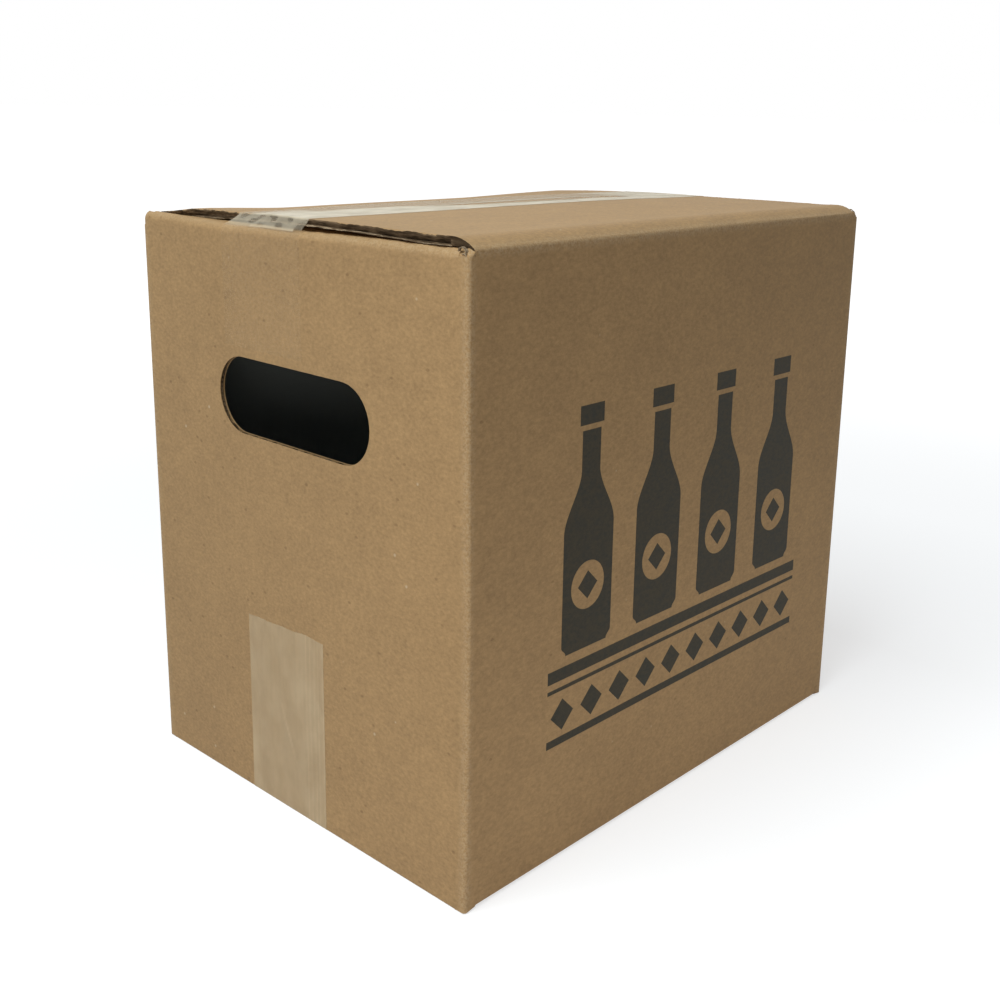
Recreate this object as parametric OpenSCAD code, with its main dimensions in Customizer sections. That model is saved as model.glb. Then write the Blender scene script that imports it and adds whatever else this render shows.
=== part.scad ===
// Corrugated shipping box: one folded and glued blank with a hand hole in each end panel,
// closed with a strip of clear tape along its top seam and another along its bottom seam.
// X runs along the long panels, Y across the end panels, Z up from the surface it stands on.

/* [Box] */
// Outside length, from end panel to end panel
box_l = 247; // [200:1:400]
// Outside width, from long panel to long panel
box_w = 190; // [150:1:300]
// Height from the underside of the bottom flaps to the top fold of the end panels
box_h = 236; // [200:1:400]
// Thickness of the corrugated board
board_t = 3.2; // [2.6:0.1:4]
// Outer radius of the four upright folds
corner_r = 1.4; // [1:0.1:5]

/* [Flaps] */
// Air between an end flap and the long flap that lies over it
flap_gap = 0.5; // [0.2:0.1:2]
// Gap between the two long flaps where they meet
seam_gap = 1.5; // [0.5:0.5:6]
// Distance from an end panel's face back to the raw ends of the top long flaps
top_end_inset = 2.7; // [1:0.1:8]
// Room between the sides of the end flaps and the inside of the long panels
side_room = 1.8; // [0.5:0.1:8]
// Depth of the slot at each upper corner, below the top fold
slot_drop = 2; // [1:0.5:3]
// Height of the upright folds' lower ends above the bottom flaps' face
foot_gap = 0.3; // [0.1:0.1:1]
// Room between the raw ends of the bottom long flaps and the jog of the end flaps
jog_room = 0.6; // [0.3:0.1:3]

/* [Folds] */
// Tight outer radius of the crushed score at the top of the long panels
score_r = 1.8; // [1:0.1:2.5]
// Turn taken by that score before the flap's shoulder begins
score_turn = 55; // [45:1:70]
// Height at which the score passes into the shoulder, above the end panels' fold
score_lift = 0.5; // [0:0.1:1]
// Outer radius of the top fold of the end panels
end_fold_r = 3.5; // [1:0.1:5]
// Outer radius of the bottom fold of the long panels
bottom_long_r = 2.5; // [1:0.1:5]
// Outer radius of the bottom fold of the end panels
bottom_end_r = 1.2; // [1:0.1:4]
// Level stretch of the bottom end flaps, between their fold and their climb
jog_level = 0.6; // [0.2:0.1:3]
// Slope at which the bottom end flaps climb over the bottom long flaps
jog_slope = 60; // [40:1:70]

/* [Raw edges] */
// Thickness of the paper liner left on each side of an open flute
liner_t = 0.5; // [0.3:0.1:0.9]
// Depth of the open flute along the raw ends of the long flaps
channel_d = 3; // [1:0.5:6]

/* [Glue lap] */
// Width of the lap glued inside the hidden corner
lap_w = 35; // [20:1:60]
// Height left free above and below the lap
lap_clear = 14; // [10:1:40]

/* [Hand holes] */
// Width of each hand hole, over its round ends
hole_w = 89; // [60:1:120]
// Height of each hand hole
hole_h = 30; // [20:1:40]
// Depth of the hand holes' centre below the top fold
hole_drop = 66.7; // [55:0.1:90]

/* [Tape] */
// Width of the packing tape
tape_w = 48; // [24:1:75]
// Thickness of the tape
tape_t = 0.1; // [0.05:0.05:0.3]
// Distance of the top strip's middle from the seam, towards the back long panel
top_tape_shift = 12.5; // [-15:0.5:15]
// Distance of the bottom strip's middle from the seam, towards the back long panel
bottom_tape_shift = 6.5; // [-15:0.5:15]
// Room between the ends of the top strip and the hand holes below them
leg_room = 3.7; // [1:0.1:25]
// Length of the bottom strip's legs, up from the bottom
bottom_leg = 79; // [20:1:100]

/* [Hidden] */
$fn = 96;
// How far joined shapes reach into each other, and cuts reach past what they cut
overlap = 1;
// How far an arc turns on, inside the shape that it joins
arc_lap = 8;
far = 2 * (box_l + box_w + box_h);

// Levels, from the floor up
base_z = tape_t;
fold_z = base_z + box_h;
top_under_z = fold_z + flap_gap;
top_face_z = top_under_z + board_t;
bottom_inner_z = base_z + board_t;
jog_z = bottom_inner_z + flap_gap;

// Top score of the long panels: a tight arc, then a wide shoulder tangent to it
score_z = fold_z + score_lift - score_r * sin(score_turn);
shoulder_r = (top_face_z - fold_z - score_lift) / (1 - sin(score_turn));
shoulder_in = score_r + (shoulder_r - score_r) * cos(score_turn);
shoulder_z = top_face_z - shoulder_r;

// Walls run plainly between these levels, a board's thickness clear of every fold
wall_low_z = max(base_z + bottom_long_r, base_z + bottom_end_r, jog_z) + board_t;
wall_high_z = min(score_z, fold_z - end_fold_r) - board_t;

// Flaps reach in from the panels' faces; all are cut to the same length, as on a plain slotted box
long_reach = (box_w - seam_gap) / 2;
end_reach = min(long_reach, (box_l - seam_gap) / 2);
side_inset = board_t + side_room;

// Bottom end fold: round, level for a little way, then climbing over the long flaps
jog_start = bottom_end_r + jog_level;
jog_end = jog_start + (jog_z - base_z) / tan(jog_slope);
bottom_end_inset = jog_end + jog_room;

// Top tape: it leaves the flap's edge and runs down to touch the end fold
bridge_in = top_end_inset - end_fold_r;
bridge_up = top_face_z - fold_z + end_fold_r;
bridge_span = norm([bridge_in, bridge_up]);
touch_angle = atan2(bridge_up, bridge_in) + acos(end_fold_r / bridge_span);

// A slice of a disc between two angles that are less than half a turn apart
module slice(r, from, to) {
    middle = (from + to) / 2;
    intersection() {
        circle(r);
        polygon([
            [0, 0],
            2 * r * [cos(from), sin(from)],
            2 * r * [cos(middle), sin(middle)],
            2 * r * [cos(to), sin(to)]
        ]);
    }
}

// A rectangle between two opposite corners
module block(low, high) {
    translate(low) square(high - low);
}

// Stands a section up at both ends of the box: its first axis runs inwards from the end panel's face
module at_both_ends(width, shift = 0) {
    for (side = [0, 1])
        mirror([side, 0, 0])
            translate([-box_l / 2, shift + width / 2, 0])
                rotate([90, 0, 0])
                    linear_extrude(width)
                        children();
}

// Stands a section up at both long sides: its first axis runs inwards from the long panel's face
module at_both_sides(length) {
    for (side = [0, 1])
        mirror([0, side, 0])
            translate([-length / 2, -box_w / 2, 0])
                rotate([90, 0, 90])
                    linear_extrude(length)
                        children();
}

// Plan of the four walls, with the outside of the upright folds rounded
module wall_plan() {
    difference() {
        union() {
            square([box_l - 2 * corner_r, box_w], center = true);
            square([box_l, box_w - 2 * corner_r], center = true);
            for (x = [-1, 1], y = [-1, 1])
                translate([x * (box_l / 2 - corner_r), y * (box_w / 2 - corner_r)])
                    circle(corner_r);
        }
        square([box_l - 2 * board_t, box_w - 2 * board_t], center = true);
    }
}

// The upright folds alone, out to the slots between the flaps
module corner_posts(reach_x, low, high) {
    translate([0, 0, low])
        linear_extrude(high - low)
            intersection() {
                wall_plan();
                for (x = [-1, 1], y = [-1, 1])
                    translate([x * (box_l - reach_x) / 2, y * (box_w - side_inset) / 2])
                        square([reach_x, side_inset], center = true);
            }
}

// Section of a top long flap: wall, crushed score, shoulder and flat flap
module top_long_section() {
    difference() {
        union() {
            block([0, wall_high_z - overlap], [board_t, score_z]);
            translate([score_r, score_z]) circle(score_r);
            intersection() {
                translate([shoulder_in, shoulder_z]) slice(shoulder_r, 90 - arc_lap, 180 - score_turn);
                block([0, wall_high_z], [long_reach, far]);
            }
            block([shoulder_in, wall_high_z], [long_reach, top_face_z]);
        }
        block([board_t, 0], [far, top_under_z]);
    }
}

// Section of a top end flap: wall, round fold and flat flap
module top_end_section() {
    difference() {
        union() {
            block([0, wall_high_z - overlap], [board_t, fold_z - end_fold_r]);
            translate([end_fold_r, fold_z - end_fold_r]) circle(end_fold_r);
            block([end_fold_r, wall_high_z], [end_reach, fold_z]);
        }
        block([board_t, 0], [far, fold_z - board_t]);
    }
}

// Section of a bottom long flap: wall, round fold and flat flap
module bottom_long_section() {
    difference() {
        union() {
            block([0, base_z + bottom_long_r], [board_t, wall_low_z + overlap]);
            translate([bottom_long_r, base_z + bottom_long_r]) circle(bottom_long_r);
            block([bottom_long_r, base_z], [long_reach, wall_low_z]);
        }
        block([board_t, bottom_inner_z], [far, far]);
    }
}

// Section of a bottom end flap: the fold is pressed level with the bottom, and the flap climbs from it
module bottom_end_section() {
    climb = jog_z - base_z;
    stub_top = wall_low_z - base_z + overlap;
    translate([0, base_z])
        difference() {
            union() {
                block([0, bottom_end_r], [board_t, stub_top]);
                translate([bottom_end_r, bottom_end_r]) circle(bottom_end_r);
                polygon([
                    [bottom_end_r, stub_top],
                    [bottom_end_r, 0],
                    [jog_start, 0],
                    [jog_end, climb],
                    [end_reach, climb],
                    [end_reach, stub_top]
                ]);
            }
            intersection() {
                block([board_t, 0], [far, far]);
                union() {
                    block([0, climb + board_t], [far, far]);
                    translate([jog_start, 0])
                        rotate(jog_slope)
                            block([-far, board_t], [far, far]);
                }
            }
        }
}

// Section of the open flute along the raw end of a long flap that has its face at this level
module open_flute(flap_low_z, flap_end) {
    block(
        [flap_end - overlap, flap_low_z + liner_t],
        [flap_end + channel_d, flap_low_z + board_t - liner_t]
    );
}

// A slot with full round ends, wide along its first axis
module hand_hole_outline() {
    straight = hole_w - hole_h;
    square([straight, hole_h], center = true);
    for (side = [-1, 1])
        translate([side * straight / 2, 0])
            circle(hole_h / 2);
}

// The lap of the blank that is glued inside the hidden corner
module glue_lap() {
    translate([
        box_l / 2 - board_t - lap_w,
        box_w / 2 - 2 * board_t,
        base_z + lap_clear
    ])
        cube([lap_w, board_t, box_h - 2 * lap_clear]);
}

// The folded and glued blank
module carton() {
    flute_run = box_w - 2 * shoulder_in;
    color("#a5855d")
    difference() {
        union() {
            translate([0, 0, wall_low_z])
                linear_extrude(wall_high_z - wall_low_z)
                    wall_plan();
            corner_posts(max(board_t, top_end_inset), wall_high_z - overlap, fold_z - slot_drop);
            corner_posts(bottom_end_inset + overlap, base_z + foot_gap, wall_low_z + overlap);
            at_both_sides(box_l - 2 * top_end_inset) top_long_section();
            at_both_ends(box_w - 2 * side_inset) top_end_section();
            at_both_sides(box_l - 2 * bottom_end_inset) bottom_long_section();
            at_both_ends(box_w - 2 * side_inset) bottom_end_section();
            glue_lap();
        }
        at_both_ends(flute_run) open_flute(top_under_z, top_end_inset);
        at_both_ends(flute_run) open_flute(base_z, bottom_end_inset);
        translate([-box_l / 2 - overlap, 0, fold_z - hole_drop])
            rotate([90, 0, 90])
                linear_extrude(box_l + 2 * overlap)
                    hand_hole_outline();
    }
}

// Section of what one half of the top strip lies on, grown by the strip's thickness or by nothing:
// end panel, end fold, slanted bridge to the flap's edge, and flap
module top_tape_bed(grow, low_z) {
    fold_centre = [end_fold_r, fold_z - end_fold_r];
    flap_edge = [top_end_inset, top_face_z];
    lean = [cos(touch_angle), sin(touch_angle)];
    block([-grow, low_z], [box_l / 2 + overlap, fold_centre.y]);
    translate(fold_centre) circle(end_fold_r + grow);
    polygon([
        fold_centre,
        fold_centre + (end_fold_r + grow) * lean,
        flap_edge + grow * lean,
        flap_edge
    ]);
    if (grow > 0)
        translate(flap_edge) circle(grow);
    block([top_end_inset, low_z], [box_l / 2 + overlap, top_face_z + grow]);
}

// The strip of clear tape along the top seam
module top_tape() {
    leg_end_z = fold_z - hole_drop + hole_h / 2 + leg_room;
    color("#d8ccb4")
        at_both_ends(tape_w, top_tape_shift)
            difference() {
                top_tape_bed(tape_t, leg_end_z);
                top_tape_bed(0, leg_end_z - overlap);
            }
}

// Section of what one half of the bottom strip lies on, grown by the strip's thickness or by nothing
module bottom_tape_bed(grow, high_z) {
    fold_centre = [bottom_end_r, base_z + bottom_end_r];
    block([-grow, fold_centre.y], [box_l / 2 + overlap, high_z]);
    translate(fold_centre) circle(bottom_end_r + grow);
    block([fold_centre.x, base_z - grow], [box_l / 2 + overlap, high_z]);
}

// The strip of clear tape along the bottom seam
module bottom_tape() {
    leg_end_z = base_z + bottom_leg;
    color("#ab9576")
        at_both_ends(tape_w, bottom_tape_shift)
            difference() {
                bottom_tape_bed(tape_t, leg_end_z);
                bottom_tape_bed(0, leg_end_z + overlap);
            }
}

carton();
top_tape();
bottom_tape();
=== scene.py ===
# A closed, taped shipping box of corrugated board with a hand hole in each end panel.
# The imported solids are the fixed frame, and the sections follow the box as it is put together:
# paper, print, folded blank, raw edges, hand holes, tape, and last the floor, light and camera.
import math
from functools import partial

import bmesh
import bpy
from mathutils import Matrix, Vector, noise


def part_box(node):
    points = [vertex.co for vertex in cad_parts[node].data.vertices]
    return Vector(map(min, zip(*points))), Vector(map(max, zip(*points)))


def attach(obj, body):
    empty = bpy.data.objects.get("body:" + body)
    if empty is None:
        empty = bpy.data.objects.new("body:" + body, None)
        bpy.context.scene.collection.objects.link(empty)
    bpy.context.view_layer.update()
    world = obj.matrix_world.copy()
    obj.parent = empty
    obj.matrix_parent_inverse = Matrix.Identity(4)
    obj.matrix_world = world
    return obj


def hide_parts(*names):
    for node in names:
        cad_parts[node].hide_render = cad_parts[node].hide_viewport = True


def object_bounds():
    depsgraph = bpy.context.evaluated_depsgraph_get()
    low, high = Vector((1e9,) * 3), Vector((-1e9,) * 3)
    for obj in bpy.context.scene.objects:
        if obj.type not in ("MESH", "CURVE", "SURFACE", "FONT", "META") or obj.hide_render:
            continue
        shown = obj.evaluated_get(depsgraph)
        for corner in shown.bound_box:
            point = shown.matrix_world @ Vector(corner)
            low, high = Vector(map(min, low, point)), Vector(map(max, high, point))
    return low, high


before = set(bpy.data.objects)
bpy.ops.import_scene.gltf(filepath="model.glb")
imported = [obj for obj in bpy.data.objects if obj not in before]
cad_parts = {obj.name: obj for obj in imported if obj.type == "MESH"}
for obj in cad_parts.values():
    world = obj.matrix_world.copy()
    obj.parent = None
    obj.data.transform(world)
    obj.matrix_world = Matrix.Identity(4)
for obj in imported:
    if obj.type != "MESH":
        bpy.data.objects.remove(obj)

cad_low, cad_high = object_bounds()

# The paper is brown kraft liner made from wood pulp, with its fibres lying along the machine's run.
# It is a little blotchy, carries a few dark slivers and pale knots, and feels dry and matt.
mm = 0.001
kraft_brown = (0.403, 0.251, 0.116, 1)
fine_scale, streak_scale, cloud_scale = 850.0, 210.0, 38.0
fine_part, streak_part, cloud_part = 0.62, 0.2, 0.18
sliver_scale, knot_scale = 250.0, 170.0


def put(tree, kind, feeds=None, **settings):
    """Adds a node, with its settings, and its inputs as plain values or as sockets that feed them."""
    node = tree.nodes.new(kind)
    for name, value in settings.items():
        setattr(node, name, value)
    for key, value in (feeds or {}).items():
        if isinstance(value, bpy.types.NodeSocket):
            tree.links.new(value, node.inputs[key])
        else:
            node.inputs[key].default_value = value
    return node


def sums(tree, operation, *terms, clamp=False):
    node = put(tree, "ShaderNodeMath", dict(enumerate(terms)), operation=operation, use_clamp=clamp)
    return node.outputs[0]


def ramp_between(tree, value, low, high, out_low=0.0, out_high=1.0, ease="SMOOTHSTEP"):
    feeds = {0: value, 1: low, 2: high, 3: out_low, 4: out_high}
    return put(tree, "ShaderNodeMapRange", feeds, interpolation_type=ease).outputs[0]


def shade_of(tree, amount, dark, light):
    feeds = {0: amount, 6: dark, 7: light}
    return put(tree, "ShaderNodeMix", feeds, data_type="RGBA").outputs[2]


def stretched(tree, place, factors):
    return put(tree, "ShaderNodeVectorMath", {0: place, 1: factors}, operation="MULTIPLY").outputs[0]


def grain(tree, place, scale, detail, roughness=0.5):
    """Soft noise from 0 to 1, with this many levels of finer noise in it."""
    feeds = {"Vector": place, "Scale": scale, "Detail": detail, "Roughness": roughness}
    return put(tree, "ShaderNodeTexNoise", feeds).outputs[0]


def specks(tree, place, scale, channel, rarity, core, rim):
    """Small specks in a few cells of a random pattern, which one channel of the cells' colour picks."""
    cells = put(tree, "ShaderNodeTexVoronoi", {"Vector": place, "Scale": scale, "Randomness": 1.0}).outputs
    draw = put(tree, "ShaderNodeSeparateColor", {0: cells["Color"]}).outputs[channel]
    near = ramp_between(tree, cells["Distance"], core, rim, 1.0, 0.0)
    return sums(tree, "MULTIPLY", near, sums(tree, "GREATER_THAN", draw, rarity))


def new_effect(name, takes, gives):
    """Starts a shader node group with named inputs and outputs."""
    group = bpy.data.node_groups.new(name, "ShaderNodeTree")
    for label, kind in takes.items():
        group.interface.new_socket(label, in_out="INPUT", socket_type=kind)
    for label in gives:
        group.interface.new_socket(label, in_out="OUTPUT", socket_type="NodeSocketFloat")
    return group, group.nodes.new("NodeGroupInput").outputs, group.nodes.new("NodeGroupOutput").inputs


paper_fibres, given, result = new_effect(
    "paper_fibres",
    {"Place": "NodeSocketVector", "Run": "NodeSocketVector"},
    ["Tone", "Slivers", "Knots", "Height"],
)
along_run = stretched(paper_fibres, given["Place"], given["Run"])
fine = grain(paper_fibres, along_run, fine_scale, 3.0, 0.7)
streaks = grain(paper_fibres, along_run, streak_scale, 4.0, 0.6)
clouds = grain(paper_fibres, given["Place"], cloud_scale, 3.0, 0.55)
tone = sums(paper_fibres, "MULTIPLY", fine, fine_part)
tone = sums(paper_fibres, "MULTIPLY_ADD", streaks, streak_part, tone)
tone = sums(paper_fibres, "MULTIPLY_ADD", clouds, cloud_part, tone)
slivers = specks(paper_fibres, along_run, sliver_scale, "Red", 0.95, 0.08, 0.2)
knots = specks(paper_fibres, given["Place"], knot_scale, "Green", 0.96, 0.06, 0.14)
paper_fibres.links.new(tone, result["Tone"])
paper_fibres.links.new(slivers, result["Slivers"])
paper_fibres.links.new(knots, result["Knots"])
paper_fibres.links.new(sums(paper_fibres, "ADD", fine, streaks), result["Height"])

# The print is one dark ink from a rubber plate, laid on the flat sheet before it is cut and folded.
# A plain row of bottle shapes stands on two bars over a strip of diamonds and a closing line.
# The design's own sizes are in millimetres, with heights from the bottles' feet.
print_middle_x = 3.5 * mm
bottle_foot_z = 83 * mm
ink_black = (0.014, 0.016, 0.011, 1)
ink_depth = 1.4 * mm
print_half = 85.0
bottle_pitch, bottle_height = 42.5, 94
body_half, neck_half = 14.2, 5.2
shoulder_low, shoulder_high = 47, 70
foot_rounding, foot_rise = 2.4, 4
cap_line_up, cap_line, cap_overhang = 85.6, 2.0, 1.5
label_up, label_radius, label_mark_reach = 25, 9.4, 5.6
diamond_up, diamond_pitch, diamond_reach = -23, 17, 6.4
base_bars = ((-6.5, 5), (-12.4, 1.6), (-33.4, 3.2))


def parts_of(tree, vector):
    return put(tree, "ShaderNodeSeparateXYZ", {0: vector}).outputs


bottle_print, given, result = new_effect("bottle_print", {"Place": "NodeSocketVector"}, ["Ink"])
spot = parts_of(bottle_print, given["Place"])
across = sums(bottle_print, "MULTIPLY_ADD", spot["X"], 1 / mm, -print_middle_x / mm)
up = sums(bottle_print, "MULTIPLY_ADD", spot["Z"], 1 / mm, -bottle_foot_z / mm)


def inked(inside_mm):
    """A crisp edge: full ink where this many millimetres inside the shape, none outside."""
    return ramp_between(bottle_print, inside_mm, -0.12, 0.12)


def from_middle(value, middle):
    return sums(bottle_print, "ABSOLUTE", sums(bottle_print, "SUBTRACT", value, middle))


def repeated(pitch):
    """Distance from the middle of each of a row of equal steps."""
    step = sums(bottle_print, "FLOORED_MODULO", sums(bottle_print, "ADD", across, print_half), pitch)
    return from_middle(step, pitch / 2)


def bar(middle, thickness):
    return sums(bottle_print, "SUBTRACT", thickness / 2, from_middle(up, middle))


def both(first, second):
    return sums(bottle_print, "MINIMUM", first, second)


def either(first, second):
    return sums(bottle_print, "MAXIMUM", first, second)


def without(shape, hole):
    return both(shape, sums(bottle_print, "MULTIPLY", hole, -1.0))


def diamond_of(reach, off_x, off_z):
    return sums(bottle_print, "SUBTRACT", reach, sums(bottle_print, "ADD", off_x, off_z))


bottle_off = repeated(bottle_pitch)
shoulder = ramp_between(bottle_print, up, shoulder_low, shoulder_high, body_half, neck_half)
foot_round = ramp_between(bottle_print, up, 0, foot_rise, foot_rounding, 0, "SMOOTHERSTEP")
on_cap = sums(bottle_print, "GREATER_THAN", up, cap_line_up + cap_line / 2)
half_here = sums(bottle_print, "SUBTRACT", shoulder, foot_round)
half_here = sums(bottle_print, "MULTIPLY_ADD", on_cap, cap_overhang, half_here)
bottle = both(sums(bottle_print, "SUBTRACT", half_here, bottle_off), bar(bottle_height / 2, bottle_height))
bottle = without(bottle, bar(cap_line_up, cap_line))
label_off = from_middle(up, label_up)
label_reach = sums(bottle_print, "MULTIPLY", label_off, label_off)
label_reach = sums(bottle_print, "MULTIPLY_ADD", bottle_off, bottle_off, label_reach)
label_reach = sums(bottle_print, "SQRT", label_reach)
bottle = without(bottle, sums(bottle_print, "SUBTRACT", label_radius, label_reach))
label_mark = diamond_of(label_mark_reach, bottle_off, label_off)
diamond = diamond_of(diamond_reach, repeated(diamond_pitch), from_middle(up, diamond_up))
design = either(either(bottle, label_mark), diamond)
for middle, thickness in base_bars:
    design = either(design, bar(middle, thickness))
design = both(design, sums(bottle_print, "SUBTRACT", print_half, sums(bottle_print, "ABSOLUTE", across)))
facing = sums(bottle_print, "LESS_THAN", spot["Y"], cad_low.y + ink_depth)
bottle_print.links.new(sums(bottle_print, "MULTIPLY", inked(design), facing), result["Ink"])

# The carton is one sheet of single-wall board: two paper liners glued to a fluted middle.
# It is slotted, creased and die-cut, folded round and glued at a lap, and its flaps are bent shut.
# The creases are rubbed paler, with a painted highlight along them, and the panels are never quite flat.
carton_low, carton_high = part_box("carton")
half_length, half_width = carton_high.x, carton_high.y
flap_face = carton_high.z
floor_level = carton_low.z
board = 3.2 * mm
liner = 0.5 * mm
flap_gap = 0.5 * mm
flap_setback = 2.7 * mm
flap_under = flap_face - board
end_fold_level = flap_under - flap_gap
flap_end = half_length - flap_setback
fold_round = 3.5 * mm
hole_below_fold = 66.7 * mm
hole_level = end_fold_level - hole_below_fold
hole_round = 15 * mm
hole_straight = 29.5 * mm
hole_groove = 1.6 * mm
flute_pitch = 6.4 * mm
bottom_fold = 1.25 * mm
fold_crush = 0.45
fray_depth = 0.9 * mm
skin = 0.1 * mm
merge_gap = 0.002 * mm
back_wall_gives = (190 * mm, 234 * mm)
end_wall_gives = (212 * mm, 233 * mm)
crease_drop, front_corner_drop, back_corner_drop = 4.6, 3.6, 4.7


def eased(value, low, high):
    """A smooth step from 0 at the low value to 1 at the high one."""
    t = min(max((value - low) / (high - low), 0), 1)
    return t * t * (3 - 2 * t)


def blend(first, second, share):
    return first + (second - first) * share


def ridge(place, middle, breadth):
    return math.exp(-(((place - middle) / breadth) ** 2))


def ripple(x, y, z):
    """Smooth noise from about -1 to 1, the same on each run."""
    return noise.noise(Vector((x, y, z)))


def hole_offset(point):
    """How far a point of an end panel lies outside the hand hole's outline, and the way straight out."""
    middle_y = min(max(point.y, -hole_straight), hole_straight)
    out = Vector((0, point.y - middle_y, point.z - hole_level))
    return out.length - hole_round, out.normalized()


def edge_gaps(point):
    """How far a point lies in from the end panels' and the long panels' outer faces."""
    return half_length - abs(point.x), half_width - abs(point.y)


def flap_drop(x, y):
    """How far the long flaps lie below their highest level; the back one slopes away from the seam.

    The drops, and the distances back and front of the seam, are in millimetres up to the last line.
    """
    back, front = max(y, 0) / mm, max(-y, 0) / mm
    at_front_end = 0.2 + 1.3 * eased(back, 4, 38) + 0.4 * eased(back, 45, 67) + 2.4 * eased(back, 64, 88)
    along_middle = 0.3 + 0.00075 * back * back
    at_back_end = 1.1 + 0.4 * (1 - eased(front, 10, 58)) + 0.0004 * back * back
    drop = blend(at_front_end, along_middle, eased(x, -119 * mm, -70 * mm))
    drop = blend(drop, at_back_end, eased(x, 30 * mm, flap_end))
    drop += 0.15 * ripple(x * 14, y * 18, 3)
    at_corner = front_corner_drop if x < 0 else back_corner_drop
    back_crease = blend(at_corner, crease_drop, eased(half_length - abs(x), 3 * mm, 32 * mm))
    drop = blend(drop, back_crease, eased(back, 84, 94))
    at_shoulder = eased(front, 78, 90) * (1 - 0.5 * eased(x, 40 * mm, flap_end))
    return max(drop, 0) * mm * (1 - at_shoulder)


def flap_slide(x, y):
    """How far the back flap's front end is drawn in, since the flap was folded a little askew."""
    drawn = 4.2 * mm * eased(y, 0, 32 * mm) * (1 - 0.5 * eased(y, 55 * mm, 92 * mm))
    return drawn * (1 - eased(x, -flap_end, 50 * mm - half_length))


def fray(y, seed):
    """How far the knife has crushed the upper liner at a flap's end."""
    wide = ripple(y * 170, seed, 1.5)
    narrow = ripple(y * 620, seed, 8.5)
    return max(0.12 + 0.3 * wide + 0.45 * narrow, 0) * mm


def fold_dip(x, y):
    """How far the top fold of an end panel is pressed down, under the tape and towards the back."""
    deepest, middle_y = 1.2 * mm, 12 * mm
    if y < middle_y:
        return deepest * ridge(y, middle_y, 50 * mm)
    if x > 0:
        return deepest + 2.2 * mm * eased(y, 30 * mm, 95 * mm)
    return deepest + 0.6 * mm * eased(y, middle_y, 36 * mm) - 0.018 * max(y - 36 * mm, 0)


def bow_walls(point, moved):
    """The panels bow in by tenths of a millimetre, and the near upright fold is dented at mid height."""
    from_end, from_side = edge_gaps(point)
    below_top = 1 - eased(point.z, end_fold_level - 30 * mm, end_fold_level)
    clear_of_folds = eased(point.z, 2 * mm, 30 * mm) * below_top
    end_share = 1 - eased(from_end, board, 6 * mm)
    side_share = 1 - eased(from_side, board, 6 * mm)
    end_bow = 0.2 + 0.4 * ripple(math.copysign(7, point.x), point.y * 11, point.z * 9)
    side_bow = 0.2 + 0.4 * ripple(point.x * 9, math.copysign(4, point.y), point.z * 9)
    across_end = max(math.cos(point.y / half_width * math.pi / 2), 0)
    across_side = max(math.cos(point.x / half_length * math.pi / 2), 0)
    moved.x -= math.copysign(end_bow * mm, point.x) * end_share * clear_of_folds * across_end
    moved.y -= math.copysign(side_bow * mm, point.y) * side_share * clear_of_folds * across_side
    if point.x < 0 and point.y < 0:
        dent = ridge(point.z, 95 * mm, 70 * mm) * ridge(from_side, 0, 20 * mm)
        moved.x += 1.2 * mm * dent * (1 - eased(from_end, 2 * mm, 25 * mm)) * clear_of_folds


def sink_lid(point, moved):
    """The long flaps sag, their raw ends are frayed, and what lies under them gives way with them."""
    from_end, from_side = edge_gaps(point)
    in_long_flap = point.z > end_fold_level + 0.2 * mm
    if in_long_flap:
        moved.z -= flap_drop(point.x, point.y)
        moved.x += flap_slide(point.x, point.y)
        if point.z < flap_under + liner + skin:
            lifted = eased(abs(point.x), flap_end - 14 * mm, flap_end)
            moved.z += 0.7 * mm * lifted * (1 - eased(abs(point.y), 20 * mm, 60 * mm))
        elif point.z > flap_face - liner - skin:
            torn = fray(point.y, math.copysign(5, point.x)) * (1 - eased(abs(point.y), 76 * mm, 90 * mm))
            moved.z -= torn * eased(abs(point.x), flap_end - fray_depth, flap_end)
    elif point.z > end_fold_level - board - 0.2 * mm and from_end > board and from_side > board + mm:
        moved.z -= flap_drop(point.x, point.y) * eased(from_end, fold_round, 9 * mm)
    elif point.y > 0 and from_side < board + skin:
        moved.z -= flap_drop(point.x, half_width) * eased(point.z, *back_wall_gives)
    if from_end < 9 * mm and not in_long_flap:
        near_fold = eased(point.z, *end_wall_gives) * (1 - eased(from_end, 5 * mm, 9 * mm))
        moved.z -= fold_dip(point.x, point.y) * near_fold


def stretch_hole(point, moved):
    """The punched rim is pinched thin, and lifting has drawn the hole a little wider and lower."""
    from_end = edge_gaps(point)[0]
    if from_end < board + skin and abs(point.y) < 60 * mm:
        outside = hole_offset(point)[0]
        pinched = 1.1 * mm * from_end / board * (1 - eased(outside, 0, 6 * mm))
        near_hole = 1 - eased(outside, 0, 15 * mm)
        lowered = blend(0.4 * mm, 1.1 * mm, eased(hole_level - point.z, -hole_round, hole_round))
        moved.x += math.copysign(pinched, point.x)
        moved.y -= 1.7 * mm * eased(-point.y, 0, 40 * mm) * near_hole
        moved.z -= lowered * near_hole


def press_bottom(point, moved):
    """The bottom folds are flattened by the weight of the box."""
    from_end, from_side = edge_gaps(point)
    if point.z < 0.6 * mm and from_end < 8 * mm and from_side < board + skin:
        moved.z += 0.17 * max(from_end - 1.2 * mm, 0)
    if point.z < floor_level + bottom_fold and from_end < bottom_fold and from_side > 4.6 * mm:
        moved.x += math.copysign((1 - fold_crush) * from_end, point.x)
        moved.z -= (1 - fold_crush) * (point.z - floor_level)


def settled(point):
    """Where a point of the new box lies once handled; the box only ever shrinks from its nominal faces."""
    moved = point.copy()
    for handling in (bow_walls, sink_lid, stretch_hole, press_bottom):
        handling(point, moved)
    return moved


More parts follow.
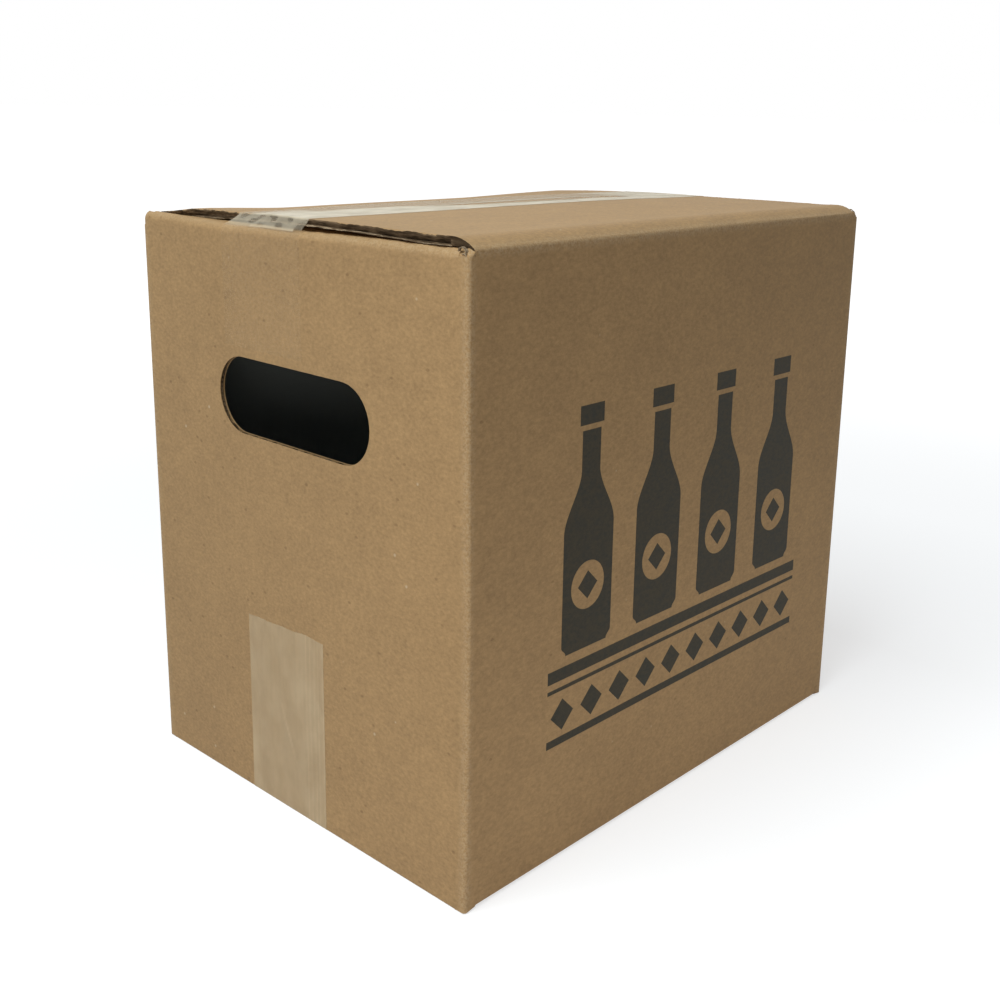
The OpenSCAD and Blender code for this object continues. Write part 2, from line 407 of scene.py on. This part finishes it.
def sheet_from(node):
    """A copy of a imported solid's mesh, merged, with its flat faces whole again."""
    shape = bmesh.new()
    shape.from_mesh(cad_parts[node].data)
    bmesh.ops.remove_doubles(shape, verts=shape.verts[:], dist=merge_gap)
    bmesh.ops.dissolve_limit(
        shape, angle_limit=math.radians(0.2), verts=shape.verts[:], edges=shape.edges[:]
    )
    return shape


def cut_across(shape, direction, places, faces=None):
    """Slices the shape, or only its faces that are asked for, so that it can bend there."""
    chosen = shape.faces[:] if faces is None else [f for f in shape.faces if faces(f)]
    for place in places:
        edges = {e for f in chosen for e in f.edges}
        verts = {v for e in edges for v in e.verts}
        cut = bmesh.ops.bisect_plane(
            shape,
            geom=chosen + list(edges) + list(verts),
            dist=merge_gap,
            plane_co=direction * place,
            plane_no=direction,
        )
        chosen = [f for f in cut["geom"] if isinstance(f, bmesh.types.BMFace)]


def on_hole_rim(face):
    middle = face.calc_center_median()
    in_end_panel = abs(middle.x) > half_length - board
    return in_end_panel and abs(face.normal.x) < 0.1 and abs(hole_offset(middle)[0]) < 0.2 * mm


def in_hole_groove(face):
    depth = edge_gaps(face.calc_center_median())[0]
    return on_hole_rim(face) and liner - skin < depth < board - liner + skin


def is_cut_board(face):
    """Faces where the sheet's raw middle shows: the flaps' ends, their open flutes and the seam."""
    middle = face.calc_center_median()
    faces_end = abs(face.normal.x) > 0.9
    at_flap_end = flap_end - 3.2 * mm < abs(middle.x) < flap_end + skin
    if at_flap_end and middle.z > end_fold_level - 4 * mm and faces_end:
        return True
    if at_flap_end and flap_under + liner - skin / 2 < middle.z < flap_face - liner + skin / 2:
        return True
    if abs(middle.x) < half_length - 4 * mm and middle.z < 3.4 * mm and faces_end:
        return True
    return abs(face.normal.y) > 0.9 and abs(middle.y) < 1 * mm


def at_raw_end(face):
    middle = face.calc_center_median()
    near_end = flap_end - 8 * mm < abs(middle.x) < flap_end + skin
    return near_end and abs(middle.z - flap_face) < liner + skin


def finish_piece(name, shape, materials, node, sharp=35):
    """Turns a shape into an object in its place, shaded smooth apart from its hard edges."""
    for face in shape.faces:
        face.smooth = True
    for edge in shape.edges:
        edge.smooth = len(edge.link_faces) == 2 and edge.calc_face_angle(0) < math.radians(sharp)
    mesh = bpy.data.meshes.new(name)
    shape.to_mesh(mesh)
    shape.free()
    for material in materials:
        mesh.materials.append(material)
    piece = bpy.data.objects.new(name, mesh)
    bpy.context.scene.collection.objects.link(piece)
    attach(piece, "root")
    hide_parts(node)


def new_finish(name):
    """A new material, with its node tree and its shader."""
    material = bpy.data.materials.new(name)
    material.use_nodes = True
    return material, material.node_tree, material.node_tree.nodes["Principled BSDF"]


def fibres_on(tree, run):
    """The place on the piece, and the paper's fibres there, laid along a run."""
    place = put(tree, "ShaderNodeTexCoord").outputs["Object"]
    return place, put(tree, "ShaderNodeGroup", {"Place": place, "Run": run}, node_tree=paper_fibres).outputs


def fade_out(tree, value, start, stop):
    return ramp_between(tree, value, start, stop, 1, 0)


def raise_relief(tree, shader, height, strength, depth):
    relief = put(tree, "ShaderNodeBump", {"Height": height, "Strength": strength, "Distance": depth})
    tree.links.new(relief.outputs[0], shader.inputs["Normal"])


wall_run, lid_run = (0.65, 0.65, 1.0), (0.65, 1.0, 0.8)
darker, paler = (0.74, 0.73, 0.72, 1), (1.26, 1.27, 1.28, 1)
# A pale tan for rubbed creases, which also serves as their painted highlight.
rubbed_highlight_tan = (0.55, 0.4, 0.24, 1)
sliver_brown = (0.16, 0.09, 0.04, 1)
knot_buff = (0.62, 0.5, 0.34, 1)
inside_grey = (0.4, 0.44, 0.43, 1)

kraft_board, tree, shader = new_finish("kraft_board")
normal = parts_of(tree, put(tree, "ShaderNodeNewGeometry").outputs["Normal"])
lying = ramp_between(tree, sums(tree, "ABSOLUTE", normal["Z"]), 0.6, 0.8)
run = put(tree, "ShaderNodeMix", {0: lying, 4: wall_run, 5: lid_run}, data_type="VECTOR").outputs[1]
place, fibres = fibres_on(tree, run)
paper = shade_of(
    tree,
    ramp_between(tree, fibres["Tone"], 0.3, 0.7, ease="LINEAR"),
    tuple(c * k for c, k in zip(kraft_brown, darker)),
    tuple(c * k for c, k in zip(kraft_brown, paler)),
)
where = parts_of(tree, place)
end_gap = sums(tree, "SUBTRACT", half_length, sums(tree, "ABSOLUTE", where["X"]))
side_gap = sums(tree, "SUBTRACT", half_width, sums(tree, "ABSOLUTE", where["Y"]))
edge_gap = sums(tree, "MINIMUM", end_gap, side_gap)
top_gap = sums(tree, "ABSOLUTE", sums(tree, "SUBTRACT", where["Z"], end_fold_level))
# Along the upright corners and the top folds the paper is made paler in broken speckles: partly real rubbed
# wear, partly a painted highlight where the rounded folds catch the light.
near_end = fade_out(tree, end_gap, 0.0, 5 * mm)
near_side = fade_out(tree, side_gap, 0.0, 5 * mm)
near_edge = fade_out(tree, edge_gap, 0.0, 4 * mm)
near_top = fade_out(tree, top_gap, 0.5 * mm, 4 * mm)
corner_wear_and_highlight = sums(tree, "MULTIPLY", near_end, near_side)
fold_wear_and_highlight = sums(tree, "MULTIPLY", near_edge, near_top)
rub = ramp_between(tree, grain(tree, place, 1300.0, 3.0, 0.7), 0.4, 0.62)
wear_and_fold_highlight = sums(tree, "MULTIPLY", sums(tree, "MAXIMUM", corner_wear_and_highlight, fold_wear_and_highlight), rub)
paper = shade_of(tree, sums(tree, "MULTIPLY", wear_and_fold_highlight, 0.6), paper, rubbed_highlight_tan)
paper = shade_of(tree, sums(tree, "MULTIPLY", fibres["Slivers"], 0.4), paper, sliver_brown)
paper = shade_of(tree, sums(tree, "MULTIPLY", fibres["Knots"], 0.6), paper, knot_buff)
behind_walls = sums(tree, "GREATER_THAN", edge_gap, board - 0.4 * mm)
below_lid = sums(tree, "LESS_THAN", where["Z"], end_fold_level - 8 * mm)
paper = shade_of(tree, sums(tree, "MULTIPLY", behind_walls, below_lid), paper, inside_grey)
ink = put(tree, "ShaderNodeGroup", {"Place": place}, node_tree=bottle_print).outputs["Ink"]
grip = ramp_between(tree, fibres["Tone"], 0.3, 0.62, 0.99, 0.93)
paper = shade_of(tree, sums(tree, "MULTIPLY", ink, grip), paper, ink_black)
tree.links.new(paper, shader.inputs["Base Color"])
roughness = ramp_between(tree, fibres["Tone"], 0.3, 0.7, 0.56, 0.66, "LINEAR")
tree.links.new(roughness, shader.inputs["Roughness"])
shader.inputs["Specular IOR Level"].default_value = 0.2
wash_x = sums(tree, "SINE", sums(tree, "MULTIPLY", where["X"], 2 * math.pi / flute_pitch))
wash_y = sums(tree, "SINE", sums(tree, "MULTIPLY", where["Y"], 2 * math.pi / flute_pitch))
facing_end = ramp_between(tree, sums(tree, "ABSOLUTE", normal["X"]), 0.6, 0.8)
washboard = put(tree, "ShaderNodeMix", {0: facing_end, 2: wash_x, 3: wash_y}).outputs[0]
height = sums(tree, "MULTIPLY_ADD", washboard, 0.25, sums(tree, "MULTIPLY", fibres["Height"], 0.5))
raise_relief(tree, shader, height, 0.35, 0.06 * mm)

raw_dark, raw_pale = (0.035, 0.021, 0.01, 1), (0.25, 0.17, 0.1, 1)

raw_board, tree, shader = new_finish("raw_board")
place, fibres = fibres_on(tree, (1, 0.15, 1))
fluff = shade_of(tree, ramp_between(tree, fibres["Tone"], 0.36, 0.66), raw_dark, raw_pale)
off_middle = sums(tree, "ABSOLUTE", parts_of(tree, place)["Y"])
# Near each flap's rounded shoulder the raw board is painted darker, a painted shade standing in for the
# shade of the flute's recess.
shoulder_painted_shade = ramp_between(tree, off_middle, half_width - 12 * mm, half_width - 9 * mm, 0.0, 0.75)
tree.links.new(shade_of(tree, shoulder_painted_shade, fluff, raw_dark), shader.inputs["Base Color"])
shader.inputs["Roughness"].default_value = 0.9
shader.inputs["Specular IOR Level"].default_value = 0.2
raise_relief(tree, shader, fibres["Height"], 0.8, 0.2 * mm)

blank = sheet_from("carton")
axis_x, axis_y, axis_z = Vector((1, 0, 0)), Vector((0, 1, 0)), Vector((0, 0, 1))
liner_edges = (liner - skin / 2, board - liner + skin / 2)
cut_across(blank, axis_x, [s * (half_length - d) for s in (-1, 1) for d in liner_edges], faces=on_hole_rim)
groove = [f for f in blank.faces if in_hole_groove(f)]
pushed = bmesh.ops.extrude_face_region(blank, geom=groove)["geom"]
bmesh.ops.delete(blank, geom=[f for f in groove if f.is_valid], context="FACES_ONLY")
for corner in {v for v in pushed if isinstance(v, bmesh.types.BMVert)}:
    corner.co += hole_offset(corner.co)[1] * hole_groove
raw_rim = {f for f in pushed if isinstance(f, bmesh.types.BMFace)}
blank.normal_update()
for face in blank.faces:
    face.material_index = 1 if face in raw_rim or is_cut_board(face) else 0
for direction, reach, step in ((axis_x, half_length, 7.1 * mm), (axis_y, half_width, 6.7 * mm)):
    count = int(2 * reach / step)
    cut_across(blank, direction, [-reach + (k + 0.5) * 2 * reach / count for k in range(count)])
    cut_across(blank, direction, [s * (reach - d * mm) for s in (-1, 1) for d in (3.3, 12.3)])
cut_across(blank, axis_z, [(4.9 + 7.05 * k) * mm for k in range(33)])
cut_across(blank, axis_x, [s * (flap_end - fray_depth) for s in (-1, 1)], faces=at_raw_end)
cut_across(blank, axis_y, [k * 0.8 * mm for k in range(-112, 113)], faces=at_raw_end)
for corner in blank.verts:
    corner.co = settled(corner.co)
finish_piece("folded_carton", blank, [kraft_board, raw_board], "carton")

# Along the flaps' cut ends the liners are torn by the knife, and the fluted middle shows between them.
# The flutes run along these edges, so each end shows one open flute, dark and a little crushed.
# At the corners the liner is crushed between the folds, and on the near side two curls of it stand up.
seam_gap = 0.9 * mm
flap_stop = half_width - 10.5 * mm
upright_round = 1.4 * mm
lip_thickness, corner_thickness = 0.22 * mm, 0.2 * mm
torn_dark, torn_pale = (0.1, 0.064, 0.034, 1), (0.46, 0.35, 0.23, 1)
end_names = {-1: "front", 1: "back"}
side_names = {-1: "near", 1: "far"}

torn_liner, tree, shader = new_finish("torn_liner")
place, fibres = fibres_on(tree, (1, 0.2, 1))
torn = shade_of(tree, ramp_between(tree, fibres["Tone"], 0.36, 0.64), torn_dark, torn_pale)
tree.links.new(torn, shader.inputs["Base Color"])
shader.inputs["Roughness"].default_value = 0.9
shader.inputs["Specular IOR Level"].default_value = 0.15
raise_relief(tree, shader, fibres["Height"], 0.7, 0.15 * mm)


def shares_in(shape):
    """Each corner of a flat grid, with its share of the way along and across."""
    xs, ys = [v.co.x for v in shape.verts], [v.co.y for v in shape.verts]
    low_x, low_y, long, wide = min(xs), min(ys), max(xs) - min(xs), max(ys) - min(ys)
    return [(v, (v.co.x - low_x) / long, (v.co.y - low_y) / wide) for v in shape.verts]


def patch(along_count, across_count, spot_of):
    """A grid of paper, each of its corners set by its share of the way along and across."""
    shape = bmesh.new()
    bmesh.ops.create_grid(shape, x_segments=along_count, y_segments=across_count, size=0.5)
    for corner, along, across in shares_in(shape):
        corner.co = spot_of(along, across)
    return shape


def thicken(shape, thickness):
    bmesh.ops.recalc_face_normals(shape, faces=shape.faces[:])
    bmesh.ops.solidify(shape, geom=shape.faces[:], thickness=thickness)
    bmesh.ops.recalc_face_normals(shape, faces=shape.faces[:])


def tear(place, seed, coarse, fine):
    """An uneven tear, in millimetres: wide bites with small fibres on them."""
    return coarse * ripple(place * 160, seed, 0.5) + fine * ripple(place * 900, seed, 7.5)


def lower_lip(end, side, seed, share, out):
    """The lower liner's torn lip, which sags beside the tape and lies on the fold towards the corner."""
    y = side * blend(seam_gap, flap_stop, share)
    reach = 0.4 + tear(y, seed + 40, 0.8, 0.4)
    beside_tape = 1 - eased(abs(y), 24 * mm, 40 * mm)
    sag = out * out * min(0.1 + 0.3 * beside_tape + tear(y, seed + 80, 0.35, 0.2), 0.5)
    above = 0.3 - 0.35 * eased(-y, 50 * mm, 76 * mm)
    x = end * (flap_end + blend(-1.5, reach, out) * mm)
    return settled(Vector((x, y, flap_under + (above - sag) * mm)))


def open_flute(end, side, seed, share, down):
    """The wall of the flute that the knife laid open, leaning in under the upper liner."""
    y = side * blend(seam_gap, flap_stop, share)
    crush = 0.35 * ripple(y * 210, down * 2.5, seed + 70)
    inwards = blend(0.4, 1.3, down) + crush
    z = blend(flap_face - liner, flap_under + liner + 0.15 * mm, down)
    return settled(Vector((end * (flap_end - inwards * mm), y, z)))


def arc_inset(radius, past):
    """How far a rounded fold has turned inwards, this far past the start of its round."""
    return radius - math.sqrt(radius ** 2 - past ** 2)


def crushed_corner(end, side, seed, share, up_share):
    """Liner drawn from the end panel's top fold round the upright fold, crumpled on the near side."""
    near = side < 0
    from_side = blend(-2.6 if near else -4.2, 7.5, share)
    round_corner, off_side = max(-from_side, 0), max(from_side, 0.02)
    y = side * (half_width - (off_side + 0.33 * eased(round_corner, 0, 0.6)) * mm)
    low, high = (4.5, 0.1) if near else (9, 0.25)
    z = end_fold_level - blend(low, high, up_share) * mm
    if not near:
        z -= 1.1 * mm * eased(round_corner, 0, 0.8)
    over_fold = min(max(z - (end_fold_level - fold_round), 0), 3.45 * mm)
    inwards = arc_inset(fold_round, over_fold)
    inwards += arc_inset(upright_round, max(upright_round - off_side * mm, 0))
    crumpled = up_share if near else 0
    lump = ripple(y * 380, z * 520, seed) * crumpled
    z += 0.7 * mm * ripple(y * 450, seed, 5) * crumpled
    tucked = 0.2 if near else 0.25 + 0.25 * (1 - eased(up_share, 0, 0.35))
    inwards += (tucked + round_corner + 1.7 * abs(lump)) * mm
    return Vector((end * (half_length - inwards), y, z - fold_dip(end, y)))


def paper_curl(end, side, seed, order, share, out):
    """A torn strip of liner, curled up at the near corner."""
    off_side, below_fold, radius, start = ((3.6, 0.9, 1.8, 10), (2.6, 2.3, 1.2, 40))[order]
    turn = math.radians(start + 170 * share)
    radius *= 1 + 0.2 * ripple(share * 4, out * 2, order + seed)
    y = side * (half_width - (off_side + radius * math.cos(turn)) * mm)
    z = end_fold_level + (radius * math.sin(turn) - below_fold) * mm
    return Vector((end * (half_length - blend(0.15, 1.4, out) * mm), y, z))


for end in (-1, 1):
    for side in (-1, 1):
        seed = 3 * end + 11 * side
        name = f"{end_names[end]}_{side_names[side]}"
        for kind, spot_of, rows, finish in (
            ("lower_lip", lower_lip, 5, torn_liner),
            ("open_flute", open_flute, 6, raw_board),
        ):
            shape = patch(190, rows, partial(spot_of, end, side, seed))
            thicken(shape, lip_thickness)
            finish_piece(f"{name}_{kind}", shape, [finish], "carton", sharp=70)
        shape = patch(30, 14, partial(crushed_corner, end, side, seed))
        thicken(shape, corner_thickness)
        for corner in shape.verts:
            corner.co.y = max(min(corner.co.y, half_width), -half_width)
        finish_piece(f"{name}_crushed_corner", shape, [kraft_board], "carton", sharp=50)
        for order in range(2 if side < 0 else 0):
            shape = patch(18, 4, partial(paper_curl, end, side, seed, order))
            thicken(shape, corner_thickness)
            curl_name = f"{name}_paper_curl_{order + 1}"
            finish_piece(curl_name, shape, [torn_liner], "carton", sharp=60)

# The hand holes are punched through the end panels, across upright flutes.
# Between the two cut liners the fluted middle shows as a wave along the straight edges.
wave_rim = hole_round + 0.2 * mm
wave_depth = 1.5 * mm
wave_height = board / 2 - liner - 0.12 * mm
for end in (-1, 1):
    shape = bmesh.new()
    bmesh.ops.create_circle(shape, segments=128, radius=1)
    for corner in shape.verts:
        out = Vector((corner.co.x, corner.co.y)).normalized()
        shift = math.copysign(hole_straight, out.x) if abs(out.x) > 1e-6 else 0
        corner.co = (0, shift + out.x * wave_rim, hole_level + out.y * wave_rim)
    long_edges = [e for e in shape.edges if e.calc_length() > 10 * mm]
    bmesh.ops.subdivide_edges(shape, edges=long_edges, cuts=90)
    outer = bmesh.ops.extrude_edge_only(shape, edges=shape.edges[:])["geom"]
    for corner in [v for v in outer if isinstance(v, bmesh.types.BMVert)]:
        corner.co += hole_offset(corner.co)[1] * wave_depth
    for corner in shape.verts:
        wave = math.sin(2 * math.pi * corner.co.y / flute_pitch)
        corner.co.x = end * (half_length - board / 2 + wave_height * wave)
        corner.co = settled(corner.co)
    thicken(shape, lip_thickness)
    name = f"{end_names[end]}_hand_hole_flutes"
    finish_piece(name, shape, [raw_board], "carton", sharp=50)

# The tape is clear packing film, glued along the seam and pressed down over both end panels.
# Where its glue hasn't wetted the board it looks milky, and it has creases and trapped air.
film_lift = 0.05 * mm
film = 0.05 * mm
over = film_lift + film
film_columns = 80
film_askew = 3 * mm
film_on_board, film_on_lid = (0.73, 0.555, 0.335, 1), (0.73, 0.625, 0.455, 1)

clear_tape, tree, shader = new_finish("clear_tape")
strip = put(tree, "ShaderNodeUVMap", uv_map="strip").outputs[0]
milk = put(tree, "ShaderNodeAttribute", attribute_name="milk").outputs["Fac"]
streaks = grain(tree, stretched(tree, strip, (9, 520, 1)), 1.0, 3.0)
blotches = grain(tree, stretched(tree, strip, (60, 110, 1)), 1.0, 3.0)
streaky = ramp_between(tree, streaks, 0.3, 0.7, -0.03, 0.03)
blotchy = ramp_between(tree, blotches, 0.3, 0.7, -0.12, 0.12)
cloudy = sums(tree, "MULTIPLY_ADD", sums(tree, "ADD", streaky, blotchy), milk, milk, clamp=True)
outside = sums(tree, "SUBTRACT", 1.0, put(tree, "ShaderNodeNewGeometry").outputs["Backfacing"])
tree.links.new(sums(tree, "MULTIPLY", cloudy, outside), shader.inputs["Alpha"])
height = parts_of(tree, put(tree, "ShaderNodeTexCoord").outputs["Object"])["Z"]
on_lid = ramp_between(tree, height, end_fold_level - 3 * mm, end_fold_level)
tree.links.new(shade_of(tree, on_lid, film_on_board, film_on_lid), shader.inputs["Base Color"])
tree.links.new(ramp_between(tree, streaks, 0.3, 0.7, 0.36, 0.5), shader.inputs["Roughness"])
shader.inputs["Specular IOR Level"].default_value = 0.3
raise_relief(tree, shader, streaks, 0.25, 0.1 * mm)


def on_board(x, y, z):
    """Where film laid over the nominal box comes to lie once the board under it has settled."""
    end_x = math.copysign(half_length, x)
    if x < 0 and z > hole_level:
        y += film_askew * (1 - eased(z, end_fold_level - 1 * mm, flap_face))
    panel = Vector((end_x, y, max(z, 2 * mm)))
    shift = settled(panel) - panel
    if z > end_fold_level - 6 * mm:
        over_flap = eased(z, end_fold_level - 2 * mm, flap_face)
        fold = Vector((end_x, y, min(z, end_fold_level)))
        on_flap = Vector((flap_slide(x, y), 0, -flap_drop(x, y)))
        shift = (settled(fold) - fold).lerp(on_flap, over_flap)
    return Vector((x, y, z)) + shift


def lay_film(name, node, path, low_y, high_y, milk_of, lift_of, ragged):
    """A strip of film along a path of (x, z) points, with a milkiness and a lift for each place on it."""
    points = [Vector(p) for p in path]
    lengths = [0.0]
    for before, after in zip(points, points[1:]):
        lengths.append(lengths[-1] + (after - before).length)
    stations = []
    for leg, (start, stop) in enumerate(zip(lengths, lengths[1:])):
        pitch = 0.7 * mm if stop - start < 12 * mm else 2.2 * mm
        pieces = max(1, round((stop - start) / pitch))
        stations += [(leg, k / pieces) for k in range(pieces)]
    stations.append((len(points) - 2, 1.0))
    last = len(stations) - 1
    shape = bmesh.new()
    bmesh.ops.create_grid(shape, x_segments=last, y_segments=film_columns, size=0.5)
    uv = shape.loops.layers.uv.new("strip")
    cloud = shape.verts.layers.float.new("milk")
    strip_place = {}
    for corner, share_along, share_across in shares_in(shape):
        leg, share = stations[round(share_along * last)]
        sideways = blend(low_y, high_y, share_across)
        along = blend(lengths[leg], lengths[leg + 1], share)
        spot = points[leg].lerp(points[leg + 1], share)
        heading = (points[leg + 1] - points[leg]).normalized()
        if share == 0 and leg > 0:
            heading = (heading + (points[leg] - points[leg - 1]).normalized()).normalized()
        from_tip = min(along, lengths[-1] - along)
        towards_tip = -1 if along < lengths[-1] / 2 else 1
        spot += heading * towards_tip * ragged(sideways, towards_tip) * (1 - eased(from_tip, 0, 6 * mm))
        corner.co = on_board(spot.x, sideways, spot.y)
        corner.co.z += lift_of(spot.x, sideways, spot.y)
        corner[cloud] = milk_of(spot.x, sideways, spot.y)
        strip_place[corner] = (along, sideways)
    for face in shape.faces:
        for loop in face.loops:
            loop[uv].uv = strip_place[loop.vert]
    bmesh.ops.recalc_face_normals(shape, faces=shape.faces[:])
    lying_faces = [f for f in shape.faces if abs(f.calc_center_median().x) < 50 * mm]
    faces_up = sum(f.normal.z for f in lying_faces) > 0
    if faces_up != (node == "top_tape"):
        bmesh.ops.reverse_faces(shape, faces=shape.faces[:])
    bmesh.ops.solidify(shape, geom=shape.faces[:], thickness=film)
    finish_piece(name, shape, [clear_tape], node, sharp=60)


def bend(middle, radius, start, stop, steps):
    """Points on an arc, given in degrees."""
    turns = [math.radians(start + (stop - start) * k / steps) for k in range(steps + 1)]
    return [(middle[0] + radius * math.cos(t), middle[1] + radius * math.sin(t)) for t in turns]


def both_ends(half_path):
    return half_path + [(-x, z) for x, z in reversed(half_path)]


def top_lift(x, y, z):
    """The film stands up in creases beside the seam."""
    on_top = eased(z, end_fold_level, flap_face)
    wander = 1.2 * mm * ripple(x * 22, 5, 1)
    creased = eased(x, -30 * mm, 10 * mm) * (1 - eased(x, 95 * mm, 112 * mm))
    creases = 0.22 * ridge(y, 3 * mm + wander, 0.7 * mm) + 0.16 * ridge(y, 7.5 * mm - wander, 0.9 * mm)
    return creases * creased * mm * on_top


def top_milk(x, y, z):
    """Clear on the end panels, grey over the gap at each flap end, and milky along the seam, with a thin
    milky band just under each fold as a painted glint where the film bends over it.
    """
    below_fold = (end_fold_level - z) / mm
    pressed_to = blend(-0.3, 0.4, (y - top_low.y) / (top_high.y - top_low.y))
    if below_fold > pressed_to + 0.4:
        return 0.07
    # A thin milky band just under the fold, a painted glint of the film bending over the fold.
    if below_fold > pressed_to:
        return 0.62
    if z < flap_face - 0.3 * mm:
        smudge = eased(ripple(y * 170, z * 520, math.copysign(3, x)), 0, 0.4)
        return 0.44 - 0.22 * smudge + 0.08 * ripple(y * 60, z * 900, math.copysign(8, x))
    seam_shows = eased(x, -60 * mm, -20 * mm) * (1 - eased(x, 70 * mm, 100 * mm))
    wander = 2.5 * mm * ripple(x * 26, 5, 1)
    band_edge = blend(16 * mm, 2 * mm + wander, seam_shows)
    near_band = 1 - eased(y, band_edge - 5 * mm, band_edge + 2 * mm)
    second_line = seam_shows * ridge(y, 10 * mm - wander, 3 * mm)
    near_back = eased(x, 60 * mm, 90 * mm)
    near_front = (1 - eased(x, -106 * mm, -86 * mm)) * (1 - eased(y, 24 * mm, 34 * mm))
    haze = max(0.34, 0.86 * near_band, 0.78 * near_front, 0.78 * near_back, 0.7 * second_line)
    return haze - 0.3 * seam_shows * ridge(y, 4.5 * mm, 2 * mm) * (1 - near_back)


def top_tip(y, tip):
    return 0.25 * mm * ripple(y * 700, tip, 2)


top_low, top_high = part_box("top_tape")
fold_middle = (fold_round - half_length, end_fold_level - fold_round)
# In degrees, where the film leaves the fold's round and runs straight to the flap's end.
leaves_fold = 157.4
half_path = [(-half_length - over, top_low.z)]
half_path += bend(fold_middle, fold_round + over, 180, leaves_fold, 5)
half_path += bend((-flap_end, flap_face), over, leaves_fold, 90, 3)
lay_film(
    "top_seam_tape",
    "top_tape",
    both_ends(half_path),
    top_low.y,
    top_high.y,
    top_milk,
    top_lift,
    top_tip,
)

bottom_low, bottom_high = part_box("bottom_tape")
bottom_round = fold_crush * bottom_fold
bottom_streaks = ((-14, 0.2), (-11.8, 0.5), (-9, 1), (-6.5, 0.6))


def bottom_lift(x, y, z):
    return 0.0


def bottom_milk(x, y, z):
    """Evenly hazy, with the glue drawn into upright streaks along its near edge and one slanted crease."""
    wander = 1.1 * mm * ripple(z * 30, 2, 4)
    drawn = sum(ridge(y, middle * mm + wander * part, 0.35 * mm) for middle, part in bottom_streaks)
    edge_line = ridge(y, bottom_low.y + 0.5 * mm, 0.5 * mm)
    slanted = ridge(y - 0.4 * (z - 30 * mm), 4 * mm, 0.7 * mm) * ridge(z, 34 * mm, 11 * mm)
    pale = 0.1 * eased(ripple(y * 45, z * 28, 9), 0, 0.6)
    return 0.5 + 0.09 * drawn + 0.1 * edge_line + 0.16 * slanted + pale


def bottom_tip(y, tip):
    """The strip was cut off a little slanted, with a finely jagged end."""
    jagged = 0.8 * ripple(y * 90, tip, 6) + 0.3 * ripple(y * 800, tip, 8)
    return (jagged - 0.04 * y / mm) * mm


bottom_middle = (bottom_round - half_length, floor_level + bottom_round)
half_path = [(-half_length - over, bottom_high.z)]
half_path += bend(bottom_middle, bottom_round + over, 180, 270, 6)
lay_film(
    "bottom_seam_tape",
    "bottom_tape",
    both_ends(half_path),
    bottom_low.y,
    bottom_high.y,
    bottom_milk,
    bottom_lift,
    bottom_tip,
)

# The box stands on a plain white sweep under soft light, brightest from above its hand-hole end.
# The camera is where the photographer stood, a little above the box and off its near corner.
floor_reach = 30
floor_grey = (0.5, 0.5, 0.5, 1)
white = (1, 1, 1, 1)
fill_light = 0.125


def seen_ray(tree):
    """1 for a ray from the camera, or one that gloss or clear film passes on, and 0 for lighting."""
    ray = put(tree, "ShaderNodeLightPath").outputs
    direct = sums(tree, "ADD", ray["Is Camera Ray"], ray["Is Glossy Ray"])
    return sums(tree, "ADD", direct, ray["Is Transmission Ray"], clamp=True)


floor_shape = bmesh.new()
bmesh.ops.create_grid(floor_shape, x_segments=1, y_segments=1, size=floor_reach)
floor_mesh = bpy.data.meshes.new("floor")
floor_shape.to_mesh(floor_mesh)
floor_shape.free()
floor = bpy.data.objects.new("floor", floor_mesh)
bpy.context.scene.collection.objects.link(floor)
white_floor, tree, shader = new_finish("white_floor")
shader.inputs["Base Color"].default_value = floor_grey
shader.inputs["Roughness"].default_value = 0.9
shader.inputs["Specular IOR Level"].default_value = 0.0
shader.inputs["Emission Color"].default_value = white
on_floor = put(tree, "ShaderNodeTexCoord").outputs["Object"]
from_box = put(tree, "ShaderNodeVectorMath", {0: on_floor}, operation="LENGTH").outputs["Value"]
glow = ramp_between(tree, from_box, 0.3, 1.2, 0.65, 1.0)
tree.links.new(sums(tree, "MULTIPLY", seen_ray(tree), glow), shader.inputs["Emission Strength"])
floor_mesh.materials.append(white_floor)

world = bpy.data.worlds.new("studio")
bpy.context.scene.world = world
world.use_nodes = True
tree = world.node_tree
background = tree.nodes["Background"].inputs
strength = ramp_between(tree, seen_ray(tree), 0, 1, fill_light, 1.0, "LINEAR")
tree.links.new(strength, background["Strength"])
background["Color"].default_value = white


def hang_lamp(name, spot, aim, breadth, height, power, tint=(1, 1, 1)):
    """A soft rectangular lamp, turned to its aim and not itself seen."""
    light = bpy.data.lights.new(name, "AREA")
    light.shape = "RECTANGLE"
    light.size, light.size_y = breadth, height
    light.energy = power
    light.color = tint
    lamp = bpy.data.objects.new(name, light)
    lamp.location = spot
    lamp.rotation_euler = (Vector(spot) - Vector(aim)).to_track_quat("Z", "Y").to_euler()
    lamp.visible_camera = lamp.visible_glossy = False
    bpy.context.scene.collection.objects.link(lamp)


hang_lamp("overhead", (-0.7, 0, 1.4), (0, 0, 0.15), 0.9, 0.9, 18.8, (0.92, 1, 1.05))
hang_lamp("end_card", (-0.55, -0.3, 0.06), (-0.12, -0.05, 0.08), 0.4, 0.4, 0.95, (1.05, 1, 0.95))
hang_lamp("side_card", (0, -0.26, 0.02), (0, -0.095, 0.02), 0.5, 0.05, 0.112)

camera_turn = (76.2406, -1.1209, -47.4697)
lens = bpy.data.cameras.new("camera")
lens.sensor_width = 36
lens.lens = 45.421
lens.shift_x, lens.shift_y = -0.03241, -0.08743
camera = bpy.data.objects.new("camera", lens)
camera.location = (-0.40057, -0.37462, 0.28093)
camera.rotation_euler = [math.radians(a) for a in camera_turn]
bpy.context.scene.collection.objects.link(camera)
bpy.context.scene.camera = camera
bpy.context.scene.view_settings.view_transform = "Standard"
